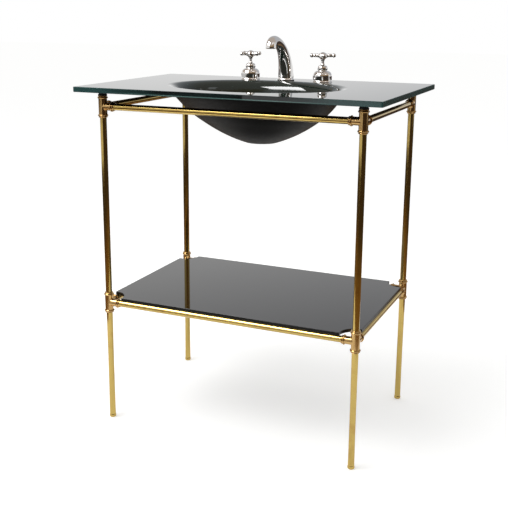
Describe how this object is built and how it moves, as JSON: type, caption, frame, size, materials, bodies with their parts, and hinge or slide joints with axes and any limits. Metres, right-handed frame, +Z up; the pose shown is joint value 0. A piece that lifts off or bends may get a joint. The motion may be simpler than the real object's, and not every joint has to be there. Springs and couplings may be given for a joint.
{
  "type": "console sink with legs",
  "caption": "Console sink: a dark glass top with an integral slumped oval basin on a brass tube frame with a glass shelf, and a chrome spout with cross-handle valves.",
  "frame": {"origin": "on the floor, under the centre of the glass top", "axes": "+Z up, +X towards the user's right, -Y towards the user"},
  "size_m": [0.762, 0.4826, 0.9807],
  "materials": {
    "black_glass": "thick polished glass, deep black-green, paint-backed",
    "smoked_glass": "dark smoked plate glass with a mirror-like upper face",
    "rubber": "matte black",
    "cast_brass": "polished castings, slightly redder than the tubes",
    "tube_brass": "polished and lacquered tube",
    "chrome": "polished",
    "gilt_ring": "satin",
    "steel": "plain washers and screws",
    "plain_brass": "as machined",
    "pipe": "drawn tube, dull"
  },
  "bodies": {
    "console": {"glass_top": "black_glass", "shelf": "smoked_glass", "glass_bumpers": "rubber", "spout_gasket": "rubber", "upper_tee_front_left": "cast_brass", "lower_tee_front_left": "cast_brass", "upper_leg_front_left": "tube_brass", "lower_leg_front_left": "tube_brass", "foot_front_left": "tube_brass", "upper_tee_front_right": "cast_brass", "lower_tee_front_right": "cast_brass", "upper_leg_front_right": "tube_brass", "lower_leg_front_right": "tube_brass", "foot_front_right": "tube_brass", "upper_tee_rear_left": "cast_brass", "lower_tee_rear_left": "cast_brass", "upper_leg_rear_left": "tube_brass", "lower_leg_rear_left": "tube_brass", "foot_rear_left": "tube_brass", "upper_tee_rear_right": "cast_brass", "lower_tee_rear_right": "cast_brass", "upper_leg_rear_right": "tube_brass", "lower_leg_rear_right": "tube_brass", "foot_rear_right": "tube_brass", "upper_rail_front": "tube_brass", "upper_rail_left": "tube_brass", "upper_rail_right": "tube_brass", "lower_rail_front": "tube_brass", "lower_rail_left": "tube_brass", "lower_rail_right": "tube_brass", "lower_rail_rear": "tube_brass", "spout_body": "chrome", "aerator": "gilt_ring", "spout_washer": "steel", "valve_washers": "steel", "spout_nut": "plain_brass", "spout_tee": "plain_brass", "valve_top_nuts": "plain_brass", "valve_lock_nuts": "plain_brass", "crossover_nuts": "plain_brass", "left_bell": "chrome", "left_collar": "chrome", "left_valve_body": "plain_brass", "left_cartridge": "plain_brass", "left_crossover_tube": "pipe", "right_bell": "chrome", "right_collar": "chrome", "right_valve_body": "plain_brass", "right_cartridge": "plain_brass", "right_crossover_tube": "pipe"},
    "left_handle": {"left_handle": "chrome", "left_index_cap": "chrome", "left_handle_screw": "steel", "left_spindle": "plain_brass"},
    "right_handle": {"right_handle": "chrome", "right_index_cap": "chrome", "right_handle_screw": "steel", "right_spindle": "plain_brass"}
  },
  "joints": [
    {"name": "left_handle_turn", "type": "hinge", "parent": "console", "child": "left_handle", "pos_m": [-0.1016, 0.1778, 0.9296], "axis": [0, 0, 1], "range_deg": [0, 90]},
    {"name": "right_handle_turn", "type": "hinge", "parent": "console", "child": "right_handle", "pos_m": [0.1016, 0.1778, 0.9296], "axis": [0, 0, 1], "range_deg": [-90, 0]}
  ]
}
